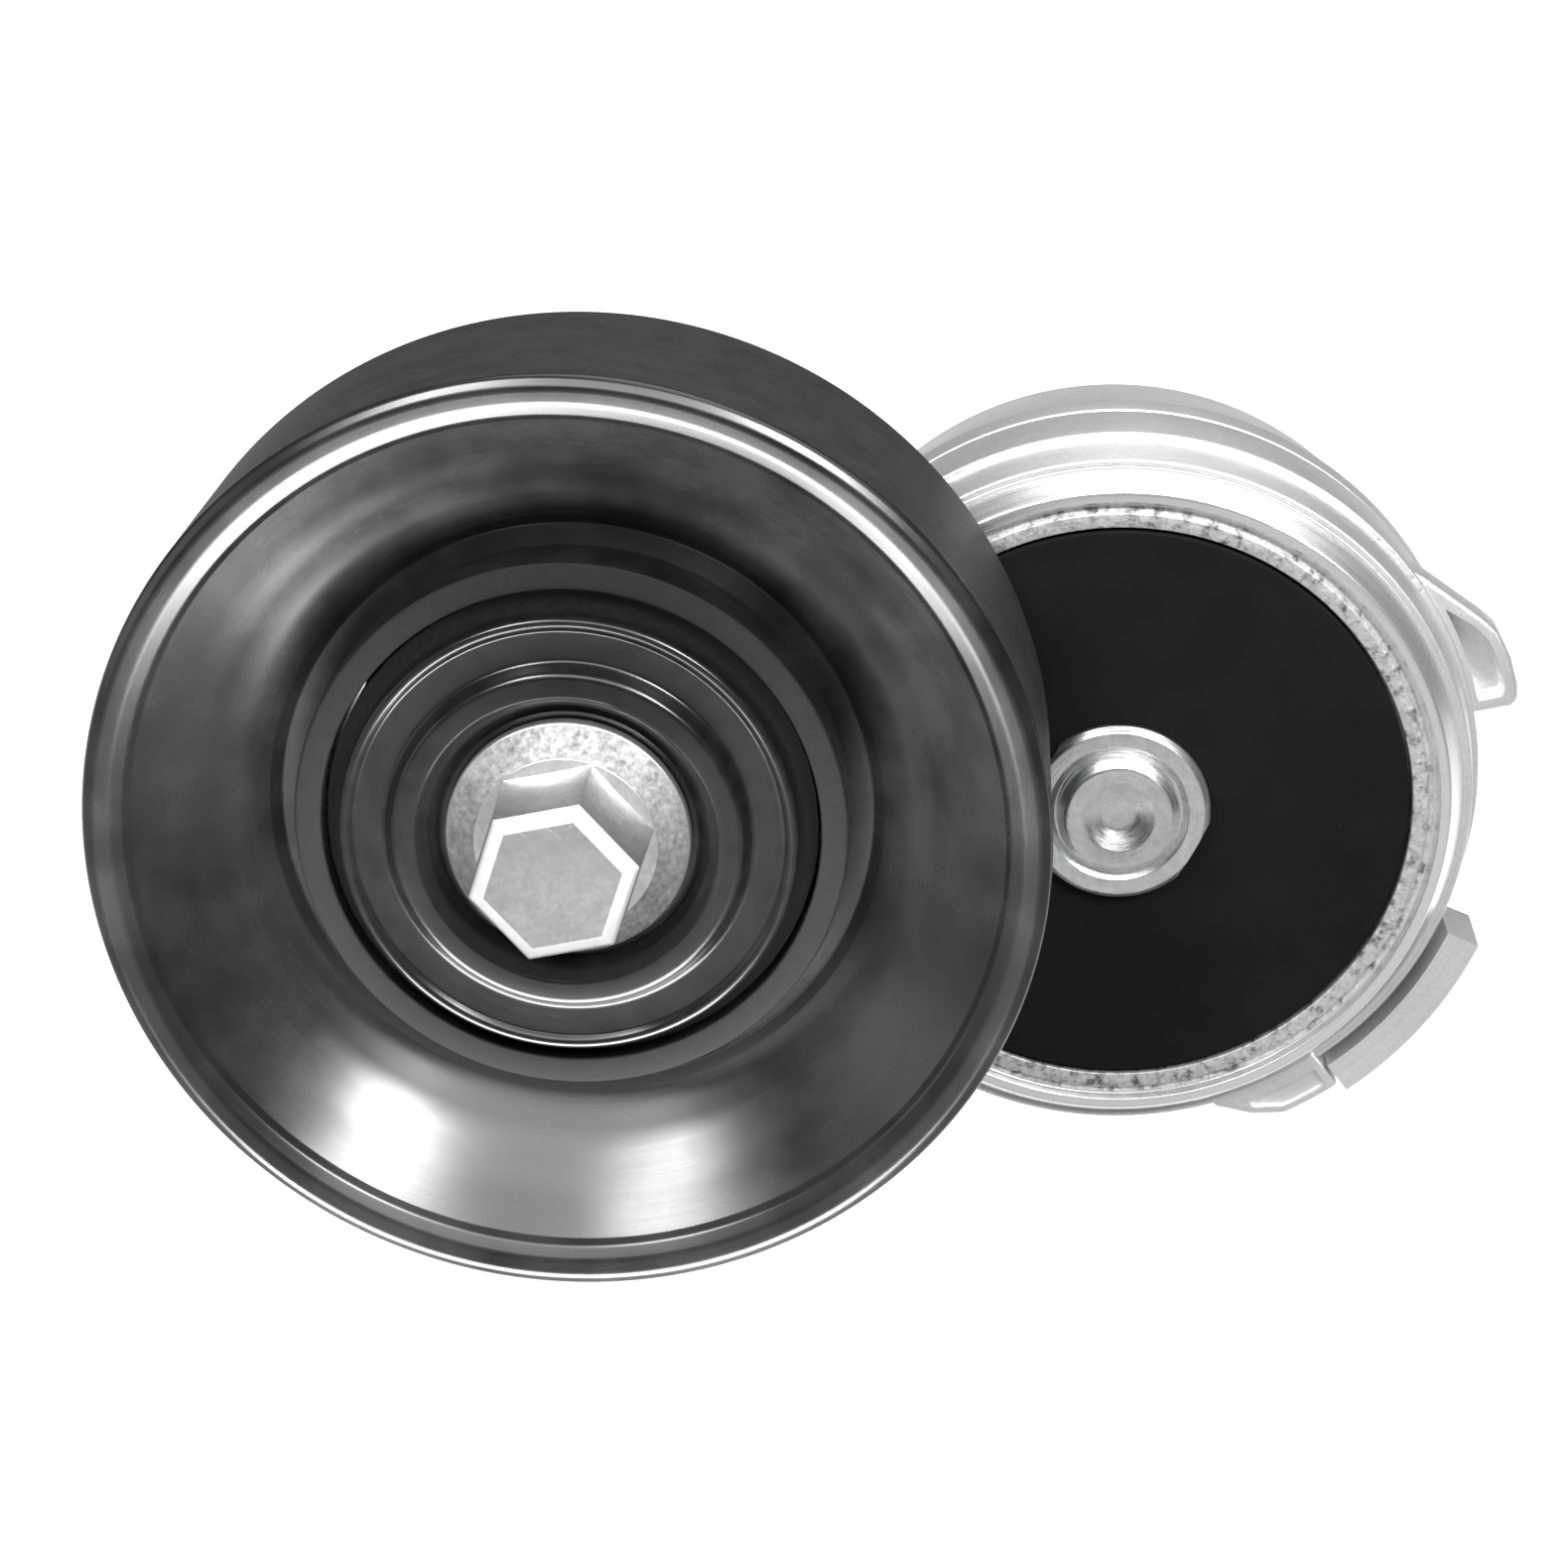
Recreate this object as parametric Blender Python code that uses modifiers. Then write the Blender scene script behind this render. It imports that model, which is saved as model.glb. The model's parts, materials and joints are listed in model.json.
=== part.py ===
"""Automatic belt tensioner with its idler pulley.

A cast arm swings on a steel pivot in a round spring case and carries a smooth pulley on a ball bearing.
Every piece is modelled with its axis along local Z, heights counted forward from the rear mounting face,
and hung on an empty that turns local Z to the front of the part (-Y).
"""
import math

import bmesh
import bpy
from mathutils import Vector

MM = 0.001
GAP = 0.3                      # room left between two touching pieces, mm

# Driving dimensions, mm and degrees
CENTRE_DISTANCE = 52.2         # pivot axis to pulley axis
PULLEY_RADIUS = 45.0
PULLEY_WIDTH = 25.0
PULLEY_FRONT = 66.4            # height of the pulley's front rim above the mounting face
SHELL = 2.3                    # sheet thickness of the pulley
HUB_INNER = 23.5
HUB_OUTER = 26.1
HUB_FACE = 60.8

BEARING_BORE = 8.5             # 17 x 47 x 14 ball bearing
BEARING_RADIUS = 23.5
BEARING_WIDTH = 14.0
BEARING_REAR = 45.4
BALL_COUNT = 8
BALL_PITCH = 16.0
BALL_RADIUS = 4.1

CASE_RADIUS = 36.5             # spring case at its widest
CASE_REAR_RADIUS = 33.6
CASE_TOP = 22.0
CASE_FLOOR = 5.5
SPIGOT_TOP = 26.0
SPIGOT_OUTER = 33.2
CASE_INNER = 31.2

SKIRT_BOTTOM = 22.4            # arm skirt over the case
SKIRT_STEP = 30.5
SKIRT_INNER = 33.7
RING_TOP = 38.8
DISC_BOTTOM = 32.0
DISC_TOP = 35.0

SHAFT_RADIUS = 8.0
BUSH_OUTER = 9.6
HUB_TUBE = 13.6
PLATE_RADIUS = 28.7
PLATE_TOP = 38.36
PLATE_THICKNESS = 1.6
HEAD_RADIUS = 9.1              # round head with two flats
HEAD_FLAT = 8.47
HEAD_TURN = -21.5              # direction of the first flat
HEAD_TOP = 39.9
DOME_RADIUS = 6.1
DOME_TOP = 41.0

BOLT_RADIUS = 5.0              # M10 flange bolt
BOLT_FLATS = 14.8              # at the flange; the hexagon tapers to the next two
BOLT_FLATS_HIGH = 13.9
BOLT_FLATS_TOP = 11.2
BOLT_TURN = 78.0               # direction of one corner
BOLT_FLANGE = 11.5
BOLT_TOP = 74.6
FLANGE_BOTTOM = 61.7

SPRING_RADIUS = 25.0
WIRE_RADIUS = 2.5
SPRING_TURNS = 3.4

BLOCK_START, BLOCK_END = -46.0, -16.0      # directions about the pivot, seen from the front
BLOCK_OUTER = 39.6
BLOCK_TOP = 36.4
LUG_START, LUG_END = -66.0, -46.6
FIN_START, FIN_END = 18.0, 46.0

PIN_PLACE = 22.0, -120.0       # locating pin: distance from the pivot, direction
PIN_RADIUS = 3.0
PIN_REACH = 5.0
PIN_HOLE_DEPTH = 4.6

COARSE, ROUND, SMOOTH, FINE = 20, 32, 40, 48      # steps of a full turn


# Scene and materials -----------------------------------------------------------------------------

def clear_scene():
    for thing in list(bpy.data.objects):
        bpy.data.objects.remove(thing, do_unlink=True)


def new_collection(name):
    group = bpy.data.collections.new(name)
    bpy.context.scene.collection.children.link(group)
    return group


def new_material(name, colour, roughness, metallic):
    material = bpy.data.materials.new(name)
    material.use_nodes = True
    shader = material.node_tree.nodes["Principled BSDF"]
    shader.inputs["Base Color"].default_value = (*colour, 1.0)
    shader.inputs["Roughness"].default_value = roughness
    shader.inputs["Metallic"].default_value = metallic
    material.diffuse_color = (*colour, 1.0)
    return material


def new_empty(name, location=(0, 0, 0), parent=None):
    """An axis empty. A top one turns local Z to the front."""
    empty = bpy.data.objects.new(name, None)
    parts.objects.link(empty)
    empty.location = [MM * value for value in location]
    if parent is None:
        empty.rotation_euler = (math.radians(90), 0, 0)
    empty.parent = parent
    empty.empty_display_size = 0.02
    return empty


# Outlines ----------------------------------------------------------------------------------------

def rounded(corners, segments=2):
    """Points of a polyline whose corners (x, y, radius) become arcs; a corner without radius stays."""
    points = []
    for index, corner in enumerate(corners):
        radius = corner[2] if len(corner) > 2 else 0
        here = Vector(corner[:2])
        if not radius:
            points.append(tuple(here))
            continue
        back = (Vector(corners[index - 1][:2]) - here).normalized()
        ahead = (Vector(corners[(index + 1) % len(corners)][:2]) - here).normalized()
        half = back.angle(ahead) / 2
        centre = here + (back + ahead).normalized() * radius / math.sin(half)
        first = here + back * radius / math.tan(half) - centre
        last = here + ahead * radius / math.tan(half) - centre
        turn = first.angle_signed(last)
        for step in range(segments + 1):
            angle = -turn * step / segments
            spoke = Vector((first.x * math.cos(angle) - first.y * math.sin(angle),
                            first.x * math.sin(angle) + first.y * math.cos(angle)))
            points.append(tuple(centre + spoke))
    return points


def polar(radius, degrees):
    return radius * math.cos(math.radians(degrees)), radius * math.sin(math.radians(degrees))


def arc(radius, start, end, steps):
    return [polar(radius, start + (end - start) * step / steps) for step in range(steps + 1)]


def signed_area(points):
    pairs = zip(points, points[1:] + points[:1])
    return sum(a[0] * b[1] - b[0] * a[1] for a, b in pairs) / 2


# Solids ------------------------------------------------------------------------------------------

def place(thing, name, parent, material=None, collection=None):
    thing.name = name
    thing.parent = parent
    for group in list(thing.users_collection):
        group.objects.unlink(thing)
    (collection or parts).objects.link(thing)
    if material:
        thing.data.materials.clear()
        thing.data.materials.append(material)
    else:
        thing.hide_render = True
        thing.display_type = "WIRE"
    return thing


def shade(thing):
    thing.data.shade_smooth()
    thing.data.set_sharp_from_angle(angle=math.radians(35))


def turned(name, profile, parent, material=None, steps=ROUND):
    """A closed outline of (radius, height) points turned about local Z; a side on the axis is left open."""
    if signed_area(profile) > 0:
        profile = profile[::-1]
    count = len(profile)
    on_axis = [i for i in range(count) if profile[i - 1][0] == 0 and profile[i][0] == 0]
    if on_axis:
        profile = profile[on_axis[0]:] + profile[:on_axis[0]]
    mesh = bpy.data.meshes.new(name)
    edges = [(i, i + 1) for i in range(len(profile) - 1)]
    if not on_axis:
        edges.append((len(profile) - 1, 0))
    mesh.from_pydata([(MM * r, 0, MM * z) for r, z in profile], edges, [])
    thing = bpy.data.objects.new(name, mesh)
    place(thing, name, parent, material, parts if material else cutters)
    screw = thing.modifiers.new("turn", "SCREW")
    screw.steps = steps
    screw.render_steps = steps
    screw.use_merge_vertices = True
    screw.merge_threshold = 0.00001
    screw.use_smooth_shade = True
    return thing


def plate(name, outline, low, high, parent, material=None):
    """A flat outline filled and extruded from height low to height high, as a mesh."""
    curve = bpy.data.curves.new(name, "CURVE")
    curve.dimensions = "2D"
    curve.fill_mode = "BOTH"
    curve.extrude = MM * (high - low) / 2
    spline = curve.splines.new("POLY")
    spline.points.add(len(outline) - 1)
    for point, (x, y) in zip(spline.points, outline):
        point.co = (MM * x, MM * y, 0, 1)
    spline.use_cyclic_u = True
    flat = bpy.data.objects.new(name, curve)
    parts.objects.link(flat)
    thing = solid_from_curve(flat)
    bmesh_move(thing, (0, 0, MM * (low + high) / 2))
    return place(thing, name, parent, material, parts if material else cutters)


def solid_from_curve(curved):
    """The curve's evaluated shape as a mesh object with its caps welded on."""
    bpy.context.view_layer.update()
    evaluated = curved.evaluated_get(bpy.context.evaluated_depsgraph_get())
    mesh = bpy.data.meshes.new_from_object(evaluated)
    work = bmesh.new()
    work.from_mesh(mesh)
    bmesh.ops.remove_doubles(work, verts=work.verts, dist=0.00001)
    bmesh.ops.recalc_face_normals(work, faces=work.faces)
    work.to_mesh(mesh)
    work.free()
    thing = bpy.data.objects.new(curved.name, mesh)
    parts.objects.link(thing)
    bpy.data.objects.remove(curved, do_unlink=True)
    return thing


def bmesh_move(thing, shift):
    for vertex in thing.data.vertices:
        vertex.co += Vector(shift)


def combine(target, other, operation):
    boolean = target.modifiers.new(f"{operation.lower()}_{other.name}", "BOOLEAN")
    boolean.operation = operation
    boolean.solver = "EXACT"
    boolean.object = other
    return target


def join(target, *others):
    for other in others:
        combine(target, other, "UNION")
    return target


def cut(target, *others):
    for other in others:
        combine(target, other, "DIFFERENCE")
    return target


def ball(name, radius, centre, parent, material=None, rings=6):
    bpy.ops.mesh.primitive_uv_sphere_add(segments=2 * rings, ring_count=rings, radius=MM * radius)
    thing = bpy.context.object
    bmesh_move(thing, [MM * value for value in centre])
    place(thing, name, parent, material, parts if material else cutters)
    shade(thing)
    return thing


# The fixed base ----------------------------------------------------------------------------------

def base_housing():
    """Cast spring case: outer wall, floor, pivot boss, labyrinth spigot and the stop block."""
    boss = 15.0
    shaft_hole = SHAFT_RADIUS + GAP
    profile = rounded([
        (shaft_hole, 0), (boss, 0, 0.6), (boss + 0.8, 3.0), (27.6, 3.0), (28.4, 0, 0.5),
        (CASE_REAR_RADIUS, 0, 0.8), (35.6, 15.0), (CASE_RADIUS, 18.0), (CASE_RADIUS, CASE_TOP),
        (SPIGOT_OUTER, CASE_TOP), (SPIGOT_OUTER, SPIGOT_TOP), (CASE_INNER, SPIGOT_TOP),
        (CASE_INNER, CASE_FLOOR, 1.5), (shaft_hole, CASE_FLOOR)])
    housing = turned("base_housing", profile, base_axis, cast_aluminium, FINE)
    join(housing, stop_block(), pin_pad(), *rear_ribs(boss))
    return cut(housing, pin_hole())


def stop_block():
    """Block on the case's edge that stands outside the skirt, between the arm's fin and lug."""
    clear, lip, step, root = CASE_RADIUS + 0.5, 36.2, 31.1, 35.0
    profile = [(lip, BLOCK_TOP), (BLOCK_OUTER, BLOCK_TOP), (BLOCK_OUTER, 17.5), (root, 13.5),
               (root, CASE_TOP - 0.4), (clear, CASE_TOP + 0.2), (clear, step), (lip, step)]
    block = turned("stop_block", profile, base_axis, steps=FINE)
    reach, middle = 50.0, (BLOCK_START + BLOCK_END) / 2
    fan = [(0, 0)] + [polar(reach, direction) for direction in (BLOCK_START, middle, BLOCK_END)]
    combine(block, plate("block_fan", fan, 0.0, reach, base_axis), "INTERSECT")
    undercut = [(0, 0), polar(reach, BLOCK_END - 5), polar(reach, BLOCK_END + 10)]
    return cut(block, plate("block_undercut", undercut, 5.0, 28.4, base_axis))


def rear_ribs(boss):
    """Six ribs across the recess behind the case floor."""
    count, half_width, near, far = 6, 1.3, boss - 0.5, 29.0
    corners = [(near, -half_width), (far, -half_width), (far, half_width), (near, half_width)]
    ribs = []
    for index in range(count):
        rib = plate(f"rib_{index + 1}", corners, 0.6, 4.0, base_axis)
        rib.rotation_euler.z = math.radians(360 * (index + 0.5) / count)
        ribs.append(rib)
    return ribs


def at_pin(thing):
    x, y = polar(*PIN_PLACE)
    thing.location = (MM * x, MM * y, 0)
    return thing


def pin_hole():
    """Blind hole for the locating pin, in its own pad between two ribs."""
    radius = PIN_RADIUS + GAP
    profile = [(0, -1), (radius, -1), (radius, PIN_HOLE_DEPTH), (0, PIN_HOLE_DEPTH)]
    return at_pin(turned("pin_hole", profile, base_axis, steps=COARSE))


def pin_pad():
    pad_radius, height = 6.0, 4.0
    profile = [(0, 0.0), (pad_radius, 0.0), (pad_radius + 0.4, height), (0, height)]
    return at_pin(turned("pin_pad", profile, base_axis, steps=COARSE))


def locating_pin():
    inner_end = PIN_HOLE_DEPTH - GAP
    profile = rounded([
        (0, -PIN_REACH), (PIN_RADIUS, -PIN_REACH, 0.8), (PIN_RADIUS, inner_end), (0, inner_end)])
    return at_pin(turned("locating_pin", profile, base_axis, zinc_steel, COARSE))


def pivot_shaft():
    """Shaft with a threaded hole from behind, a shoulder, a head with two flats and a peened dome."""
    neck, thread, thread_end = 7.0, 4.3, 24.0
    shoulder, head_low = 36.4, PLATE_TOP + GAP
    body = turned("pivot_shaft", rounded([
        (thread + 0.8, 0), (SHAFT_RADIUS, 0, 0.5), (SHAFT_RADIUS, shoulder), (neck, shoulder),
        (neck, head_low + 0.4), (DOME_RADIUS, head_low + 0.4), (DOME_RADIUS, 40.3, 0.5),
        (5.3, DOME_TOP, 0.6), (4.3, DOME_TOP, 0.4), (0, DOME_TOP - 1.0), (0, thread_end + 2.0),
        (thread, thread_end), (thread, 0.8)]), base_axis, bright_steel, ROUND)
    groove, groove_edge = DOME_RADIUS + 0.3, DOME_RADIUS + 0.9
    head = turned("pivot_head", [
        (0, head_low), (HEAD_RADIUS, head_low), (HEAD_RADIUS, HEAD_TOP - 0.5), (HEAD_RADIUS - 0.5, HEAD_TOP),
        (groove_edge, HEAD_TOP), (groove, HEAD_TOP - 0.5), (0, HEAD_TOP - 0.5)], base_axis, steps=FINE)
    reach = 2 * HEAD_RADIUS
    flats = plate("pivot_head_flats", [(HEAD_FLAT, -reach), (HEAD_FLAT, reach), (-HEAD_FLAT, reach),
                                       (-HEAD_FLAT, -reach)], head_low - 1, HEAD_TOP + 1, base_axis)
    flats.rotation_euler.z = math.radians(HEAD_TURN)
    combine(head, flats, "INTERSECT")
    return join(body, head)


def front_cap_plate():
    top, low = PLATE_TOP, PLATE_TOP - PLATE_THICKNESS
    profile = rounded([(7.3, top), (PLATE_RADIUS, top, 0.3), (PLATE_RADIUS, low), (7.3, low)])
    return turned("front_cap_plate", profile, base_axis, black_plate, FINE)


def friction_washer():
    low, top = DISC_TOP + GAP, PLATE_TOP - PLATE_THICKNESS - GAP
    return turned("friction_washer", [(12.0, top), (28.4, top), (28.4, low), (12.0, low)],
                  base_axis, nylon, ROUND)


def spring_seat():
    low = CASE_FLOOR + GAP
    profile = [(15.0, low + 1.2), (29.2, low + 1.2), (29.2, low), (15.0, low)]
    return turned("spring_seat", profile, base_axis, nylon, ROUND)


def torsion_spring():
    """Round-wire coil between the seat and the arm's disc."""
    bottom = CASE_FLOOR + 2 * GAP + 1.2 + WIRE_RADIUS
    top = DISC_BOTTOM - GAP - WIRE_RADIUS
    per_turn = 20
    count = int(SPRING_TURNS * per_turn)
    curve = bpy.data.curves.new("torsion_spring", "CURVE")
    curve.dimensions = "3D"
    curve.bevel_depth = MM * WIRE_RADIUS
    curve.bevel_resolution = 2
    curve.use_fill_caps = True
    spline = curve.splines.new("POLY")
    spline.points.add(count)
    for index, point in enumerate(spline.points):
        x, y = polar(SPRING_RADIUS, 140 + 360 * index / per_turn)
        point.co = (MM * x, MM * y, MM * (bottom + (top - bottom) * index / count), 1)
    coil = bpy.data.objects.new("torsion_spring", curve)
    parts.objects.link(coil)
    return place(solid_from_curve(coil), "torsion_spring", base_axis, spring_steel)


# The arm -----------------------------------------------------------------------------------------

def tensioner_arm():
    """Cast arm: pivot hub, front disc and ring, skirt with two stops, web and pulley boss."""
    bush_hole = BUSH_OUTER + GAP
    profile = rounded([
        (bush_hole, 7.0), (HUB_TUBE, 7.0), (HUB_TUBE, DISC_BOTTOM, 1.2), (SKIRT_INNER, DISC_BOTTOM),
        (SKIRT_INNER, SKIRT_BOTTOM), (CASE_RADIUS, SKIRT_BOTTOM), (CASE_RADIUS - 0.1, SKIRT_STEP),
        (35.7, SKIRT_STEP + 0.1), (35.0, 35.9), (34.6, 35.9), (34.4, 35.5), (34.0, 36.3),
        (32.5, RING_TOP), (31.6, RING_TOP), (31.3, 38.1), (30.8, 37.9), (30.4, 38.4), (29.0, 38.4),
        (29.0, DISC_TOP), (bush_hole, DISC_TOP)])
    arm = turned("tensioner_arm", profile, arm_axis, cast_aluminium, FINE)
    join(arm, arm_web(), pulley_boss(), travel_fin(), stop_lug())
    return cut(arm, fin_pocket(), lug_recess(), boss_hole())


def arm_web():
    """Flat arm between the skirt and the boss."""
    root, spread, far = 34.9, 48, 12.2
    start = Vector(polar(root, 180 - spread)) + Vector((CENTRE_DISTANCE, 0))
    lean = math.degrees(math.atan2(start.y, start.x) + math.acos(far / start.length))
    tip = [(x - CENTRE_DISTANCE, y) for x, y in arc(far, lean, 360 - lean, 12)]
    return plate("arm_web", arc(root, 180 + spread, 180 - spread, 12) + tip, 26.5, 37.6, arm_axis)


def pulley_boss():
    low, top = 23.0, 43.6
    profile = rounded([(0, top), (12.6, top), (13.6, top - 1.0), (14.2, low + 1.5), (12.8, low), (0, low)])
    boss = turned("pulley_boss", profile, arm_axis, steps=ROUND)
    boss.location = (-MM * CENTRE_DISTANCE, 0, 0)
    return boss


def boss_hole():
    hole = turned("boss_hole", [(0, 45.0), (BOLT_RADIUS + GAP, 45.0), (BOLT_RADIUS + GAP, 27.0), (0, 25.0)],
                  arm_axis, steps=COARSE)
    hole.location = (-MM * CENTRE_DISTANCE, 0, 0)
    return hole


def travel_fin():
    """Stop that meets the block when the arm is pushed back as far as it goes."""
    outline = [polar(36.0, FIN_END), polar(36.9, 42), polar(39.9, 32), polar(40.8, 29.3), polar(41.2, 25),
               polar(41.2, 21), polar(40.9, 18.8), polar(40.2, FIN_START)]
    outline += arc(35.0, FIN_START, FIN_END, 6)
    return plate("travel_fin", outline, 25.2, 29.6, arm_axis)


def fin_pocket():
    outline = [polar(37.0, 36), polar(38.9, 31.5), polar(39.7, 28.5), polar(39.9, 25), polar(39.9, 21.0),
               polar(39.5, 19.8)] + arc(37.0, 19.8, 36, 5)[:-1]
    return plate("fin_pocket", outline, 27.0, 31.0, arm_axis)


def stop_lug():
    """Stop that rests on the block when no belt loads the arm."""
    outline = arc(38.8, LUG_END, -56, 4) + [polar(37.6, -60.5)] + [polar(35.4, LUG_START)]
    outline += arc(34.2, LUG_START, LUG_END, 6)
    return plate("stop_lug", outline, 24.6, 36.0, arm_axis)


def lug_recess():
    outline = arc(38.0, LUG_END - 1.5, -55.5, 4) + [polar(36.8, -60)] + arc(35.9, -60.5, LUG_END - 1.5, 5)
    return plate("lug_recess", outline, 35.5, 37.0, arm_axis)


def pivot_bushings():
    inner = SHAFT_RADIUS + GAP
    middle, flange = 21.0, 11.6
    low, top = 7.2, PLATE_TOP - PLATE_THICKNESS - GAP
    front = [(inner, top), (flange, top), (flange, DISC_TOP + GAP), (BUSH_OUTER, DISC_TOP + GAP),
             (BUSH_OUTER, middle + GAP), (inner, middle + GAP)]
    rear = [(inner, middle), (BUSH_OUTER, middle), (BUSH_OUTER, low), (inner, low)]
    return (turned("pivot_bushing_front", front, arm_axis, nylon, ROUND),
            turned("pivot_bushing_rear", rear, arm_axis, nylon, ROUND))


def damper_shoe():
    """Friction shoe between the spring's lower turns and the case wall."""
    inner, outer = SPRING_RADIUS + WIRE_RADIUS + GAP, CASE_INNER - GAP
    outline = arc(outer, 100, 250, 20) + arc(inner, 250, 100, 20)
    return plate("damper_shoe", outline, 8.4, 21.0, arm_axis, nylon)


# The idler: bearing, shields and bolt ---------------------------------------------------------------

def bearing_sleeve():
    profile = [(BOLT_RADIUS + GAP, 60.1), (BEARING_BORE - GAP, 60.1), (BEARING_BORE - GAP, 45.1),
               (BOLT_RADIUS + GAP, 45.1)]
    return turned("bearing_sleeve", profile, idler_axis, bright_steel, ROUND)


def race_arc(outward, steps=6):
    """The ball groove of a ring: an arc about the ball circle, a little wider than the ball."""
    radius, half = BALL_RADIUS + 0.25, 52
    middle = BEARING_REAR + BEARING_WIDTH / 2
    points = []
    for step in range(steps + 1):
        angle = math.radians(-half + 2 * half * step / steps)
        points.append((BALL_PITCH + outward * radius * math.cos(angle), middle + radius * math.sin(angle)))
    return points


def bearing_inner_ring():
    low, top = BEARING_REAR, BEARING_REAR + BEARING_WIDTH
    shoulder = 13.2
    profile = [(BEARING_BORE, top), (BEARING_BORE, low), (shoulder, low)] + race_arc(-1) + [(shoulder, top)]
    return turned("bearing_inner_ring", profile, idler_axis, bearing_steel, ROUND)


def bearing_outer_ring():
    low, top = BEARING_REAR, BEARING_REAR + BEARING_WIDTH
    shoulder = 18.8
    profile = [(BEARING_RADIUS - GAP, top), (BEARING_RADIUS - GAP, low), (shoulder, low)]
    profile += race_arc(1) + [(shoulder, top)]
    return turned("bearing_outer_ring", profile, pulley_axis, bearing_steel, FINE)


def bearing_seals():
    """Rubber rings that close the bearing at the front and the rear."""
    inner, outer, thick = 13.5, 18.5, 0.8
    for name, low in (("bearing_seal_rear", BEARING_REAR + 0.2),
                      ("bearing_seal_front", BEARING_REAR + BEARING_WIDTH - 0.2 - thick)):
        profile = [(inner, low + thick), (outer, low + thick), (outer, low), (inner, low)]
        turned(name, profile, pulley_axis, black_rubber, ROUND)


def ball_centre(index):
    x, y = polar(BALL_PITCH, 360 * index / BALL_COUNT)
    return x, y, BEARING_REAR + BEARING_WIDTH / 2


def bearing_cage():
    middle, half, inner, outer = BEARING_REAR + BEARING_WIDTH / 2, 5.3, 14.9, 17.1
    profile = [(inner, middle + half), (outer, middle + half), (outer, middle - half), (inner, middle - half)]
    cage = turned("bearing_cage", profile, cage_axis, nylon, ROUND)
    for index in range(BALL_COUNT):
        cut(cage, ball(f"ball_pocket_{index + 1}", BALL_RADIUS + 0.35, ball_centre(index), cage_axis))
    return cage


def bearing_balls():
    for index in range(BALL_COUNT):
        ball(f"bearing_ball_{index + 1}", BALL_RADIUS, ball_centre(index), cage_axis, bearing_steel)


def pulley():
    """Stamped one-piece pulley: smooth belt face, beaded rim, coned web and hub tube."""
    rear, inside = PULLEY_FRONT - PULLEY_WIDTH, PULLEY_RADIUS - SHELL
    front = rounded([
        (PULLEY_RADIUS, rear), (PULLEY_RADIUS, PULLEY_FRONT - 0.3, 0.8), (43.9, PULLEY_FRONT + 0.4, 1.0),
        (42.5, PULLEY_FRONT - 0.1), (41.1, 65.3, 1.0), (37.0, 61.6), (33.5, 58.7), (29.3, 56.0, 1.2),
        (28.3, 55.1, 0.6), (HUB_OUTER, 54.8)], 1)
    back = rounded([
        (HUB_OUTER, 52.4), (28.8, 52.5), (30.3, 53.7), (34.9, 56.7), (38.5, 59.8), (42.2, 63.3),
        (inside, 64.0), (inside, rear)], 1)
    hub_low = BEARING_REAR - 1.2
    hub = [(HUB_OUTER, HUB_FACE - 0.3), (HUB_OUTER - 0.3, HUB_FACE), (HUB_INNER, HUB_FACE),
           (HUB_INNER, hub_low), (HUB_OUTER, hub_low)]
    return turned("pulley", front + hub + back, pulley_axis, black_enamel, SMOOTH)


def front_dust_shield():
    """Pressed cap in front of the bearing: rolled edge, raised bead, sunk seat for the bolt."""
    seat = FLANGE_BOTTOM - GAP
    thick = 1.0
    front = rounded([
        (BOLT_RADIUS + GAP, seat), (12.2, seat, 0.4), (13.2, seat + 1.6, 0.6), (14.2, 64.0, 0.4),
        (16.4, 64.0, 0.5), (17.2, 62.4, 0.6), (20.4, 62.6, 0.4), (21.57, 63.7, 0.5), (21.57, 60.0)], 1)
    back = [(21.57 - thick, 60.0), (21.57 - thick, 62.0), (17.0, 61.3), (16.0, 63.0), (14.4, 63.0),
            (13.0, seat - thick), (BOLT_RADIUS + GAP, seat - thick)]
    return turned("front_dust_shield", front + back, idler_axis, black_enamel, ROUND)


def rear_dust_shield():
    low, top = 43.6 + GAP, 45.1 - GAP
    profile = [(BOLT_RADIUS + GAP, top), (10.0, top), (11.0, low + 0.8), (22.6, low + 0.8), (22.6, low),
               (BOLT_RADIUS + GAP, low)]
    return turned("rear_dust_shield", profile, idler_axis, zinc_steel, ROUND)


def pulley_bolt():
    """M10 flange bolt: plain shank, conical flange and hexagon."""
    flange_edge = FLANGE_BOTTOM + 1.3
    hex_low = FLANGE_BOTTOM + 2.0
    shank_end = 30.0
    body = turned("pulley_bolt", rounded([
        (0, hex_low + 1.2), (7.2, hex_low + 1.2), (8.4, hex_low + 1.2, 0.4), (BOLT_FLANGE, flange_edge, 0.3),
        (BOLT_FLANGE, FLANGE_BOTTOM), (BOLT_RADIUS, FLANGE_BOTTOM), (BOLT_RADIUS, shank_end + 1.0),
        (BOLT_RADIUS - 1.0, shank_end), (0, shank_end)]), idler_axis, zinc_steel, ROUND)
    return join(body, bolt_hexagon(hex_low))


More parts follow.
